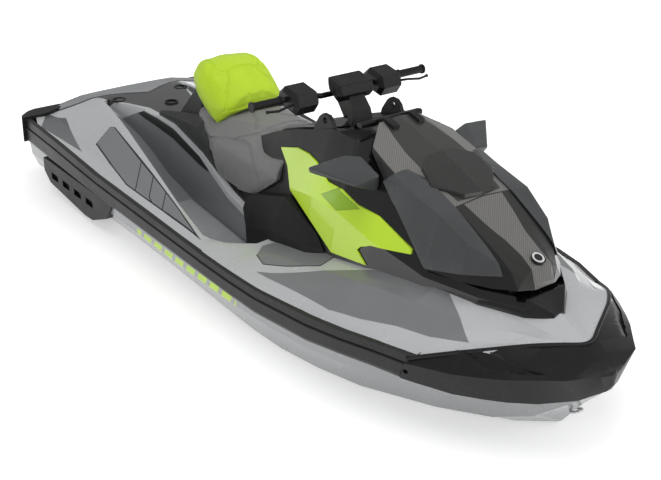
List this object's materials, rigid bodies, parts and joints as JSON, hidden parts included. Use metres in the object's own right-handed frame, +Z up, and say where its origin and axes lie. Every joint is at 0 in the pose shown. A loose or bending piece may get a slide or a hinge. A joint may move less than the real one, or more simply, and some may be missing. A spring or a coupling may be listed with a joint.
{
  "type": "personal watercraft",
  "caption": "Sport sit-down watercraft: vee hull, footwells, bolstered saddle, handlebar steering, opening hood and glove box, jet pump with steering nozzle and reverse gate.",
  "frame": {"origin": "on the waterline plane at mid-length, on the centreline", "axes": "+X to the bow, +Y to port, +Z up"},
  "size_m": [3.305, 1.2558, 1.1083],
  "materials": {
    "hull_silver": "gloss gelcoat",
    "deck_silver": "gloss gelcoat",
    "rail_black": "satin moulded rubbing strip",
    "trim_black": "satin",
    "gloss_black": "gloss",
    "carbon": "clear-coated weave",
    "charcoal": "satin metallic",
    "lime": "gloss",
    "lime_vinyl": "vinyl upholstery",
    "grey_vinyl": "vinyl upholstery",
    "grey_mat": "foam traction mat",
    "decal_grey": "printed film",
    "rubber_black": "moulded rubber",
    "steel": "stainless",
    "pump_alloy": "cast",
    "engine": "painted casting",
    "mirror_silver": "first-surface mirror",
    "disc_dark": "gloss"
  },
  "bodies": {
    "craft": {"hull": "hull_silver", "deck": "deck_silver", "side_rails": "rail_black", "bow_bumper": "trim_black", "stern_caps": "trim_black", "sponsons": "trim_black", "rear_mat": "grey_mat", "footwell_mats": "grey_mat", "flank_panels": "decal_grey", "engine_block": "engine", "console": "trim_black", "nose_cowl": "gloss_black", "accent_panels": "lime", "knee_pods": "rubber_black", "seat_base": "charcoal", "seat_cushion": "grey_vinyl", "seat_bolster": "lime_vinyl", "socket_rings": "trim_black", "ride_plate": "pump_alloy", "intake_grate": "pump_alloy", "pump_housing": "pump_alloy", "bow_eye": "steel", "stern_eyes": "steel", "mirrors": "charcoal", "mirror_glass": "mirror_silver", "knee_plates": "decal_grey", "grab_loops": "trim_black"},
    "hood_lid": {"hood": "carbon", "hood_scoop": "carbon", "hood_side_panels": "charcoal", "emblem_disc": "disc_dark", "hood_handle": "trim_black"},
    "glove_lid": {"glovebox_lid": "trim_black"},
    "steering": {"steering_column": "trim_black", "steering_cover": "charcoal", "handlebar": "trim_black", "grips": "rubber_black", "control_housings": "trim_black", "levers": "trim_black", "gauge_pod": "trim_black"},
    "impeller_shaft": {"impeller": "steel"},
    "trim": {"trim_ring": "pump_alloy"},
    "nozzle": {"steering_nozzle": "pump_alloy"},
    "gate": {"reverse_gate": "trim_black"}
  },
  "joints": [
    {"name": "steering_turn", "type": "hinge", "parent": "craft", "child": "steering", "pos_m": [0.205, 0, 0.82], "axis": [-0.6428, 0, 0.766], "range_deg": [-20, 20]},
    {"name": "nozzle_turn", "type": "hinge", "parent": "trim", "child": "nozzle", "pos_m": [-1.515, 0, -0.075], "axis": [0, 0, 1], "range_deg": [-20, 20]},
    {"name": "trim_tilt", "type": "hinge", "parent": "craft", "child": "trim", "pos_m": [-1.515, 0, -0.075], "axis": [0, 1, 0], "range_deg": [-8, 8]},
    {"name": "gate_drop", "type": "hinge", "parent": "craft", "child": "gate", "pos_m": [-1.44, 0, -0.035], "axis": [0, -1, 0], "range_deg": [0, 46]},
    {"name": "impeller_spin", "type": "hinge", "parent": "craft", "child": "impeller_shaft", "pos_m": [-1.24, 0, -0.075], "axis": [1, 0, 0], "continuous": true},
    {"name": "hood_open", "type": "hinge", "parent": "craft", "child": "hood_lid", "pos_m": [1.288, 0, 0.494], "axis": [0, 1, 0], "range_deg": [0, 50]},
    {"name": "glove_lid_open", "type": "hinge", "parent": "craft", "child": "glove_lid", "pos_m": [0.193, 0, 0.71], "axis": [0, 1, 0], "range_deg": [0, 45]}
  ],
  "couplings": [
    {"joint": "nozzle_turn", "follows": "steering_turn", "ratio": -1}
  ]
}
